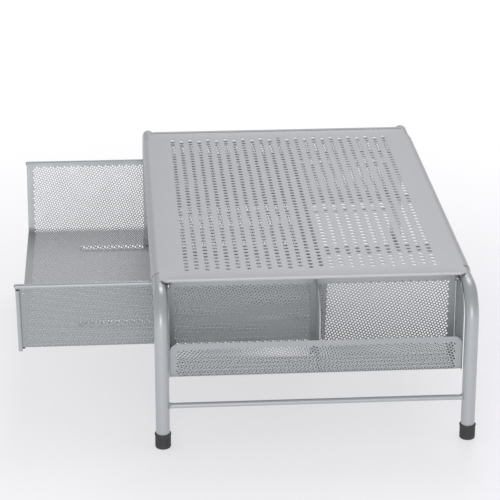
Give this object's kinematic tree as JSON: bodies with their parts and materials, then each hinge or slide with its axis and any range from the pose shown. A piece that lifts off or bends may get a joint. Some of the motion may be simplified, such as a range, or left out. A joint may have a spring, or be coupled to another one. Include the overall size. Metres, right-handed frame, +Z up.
{
  "type": "monitor riser stand",
  "caption": "Desktop monitor riser of perforated sheet steel on bent tube legs, with a pull-out mesh drawer under the top and an open side tray at each end.",
  "frame": {"origin": "on the desk surface, under the centre of the whole object's box with the drawer at its rest pose, pulled out 125 mm", "axes": "+X along the length of the stand towards its right end, seen from the drawer side; -Y towards the user, the way the drawer opens; +Z up"},
  "size_m": [0.5106, 0.4198, 0.1496],
  "materials": {
    "powder_coat": "satin silver-grey powder coat on steel",
    "mesh_coat": "satin silver-grey powder coat on perforated sheet steel",
    "foot_rubber": "matt black moulded rubber",
    "glide_nylon": "matt natural nylon",
    "zinc_plate": "dull zinc-plated steel"
  },
  "bodies": {
    "stand": {"front_tube_frame": "powder_coat", "rear_tube_frame": "powder_coat", "foot_front_left": "foot_rubber", "foot_front_right": "foot_rubber", "foot_rear_left": "foot_rubber", "foot_rear_right": "foot_rubber", "left_cross_rod": "powder_coat", "right_cross_rod": "powder_coat", "top_plate": "powder_coat", "plate_stiffener_left": "powder_coat", "plate_stiffener_middle": "powder_coat", "plate_stiffener_right": "powder_coat", "left_tray_sheet": "mesh_coat", "left_tray_front_wall": "mesh_coat", "left_tray_rear_wall": "mesh_coat", "left_tray_divider": "mesh_coat", "right_tray_sheet": "mesh_coat", "right_tray_front_wall": "mesh_coat", "right_tray_rear_wall": "mesh_coat", "right_tray_divider": "mesh_coat", "left_drawer_rail": "zinc_plate", "right_drawer_rail": "zinc_plate", "rail_screw_front_left": "zinc_plate", "rail_screw_front_right": "zinc_plate", "rail_screw_rear_left": "zinc_plate", "rail_screw_rear_right": "zinc_plate", "tray_screw_front_left": "zinc_plate", "tray_screw_front_right": "zinc_plate", "tray_screw_rear_left": "zinc_plate", "tray_screw_rear_right": "zinc_plate"},
    "drawer": {"drawer_tray": "mesh_coat", "drawer_rear_wall": "mesh_coat", "drawer_glide_left": "glide_nylon", "drawer_glide_right": "glide_nylon"}
  },
  "joints": [
    {"name": "drawer_slide", "type": "slide", "parent": "stand", "child": "drawer", "axis": [0, -1, 0], "range_m": [-0.125, 0.05]}
  ]
}
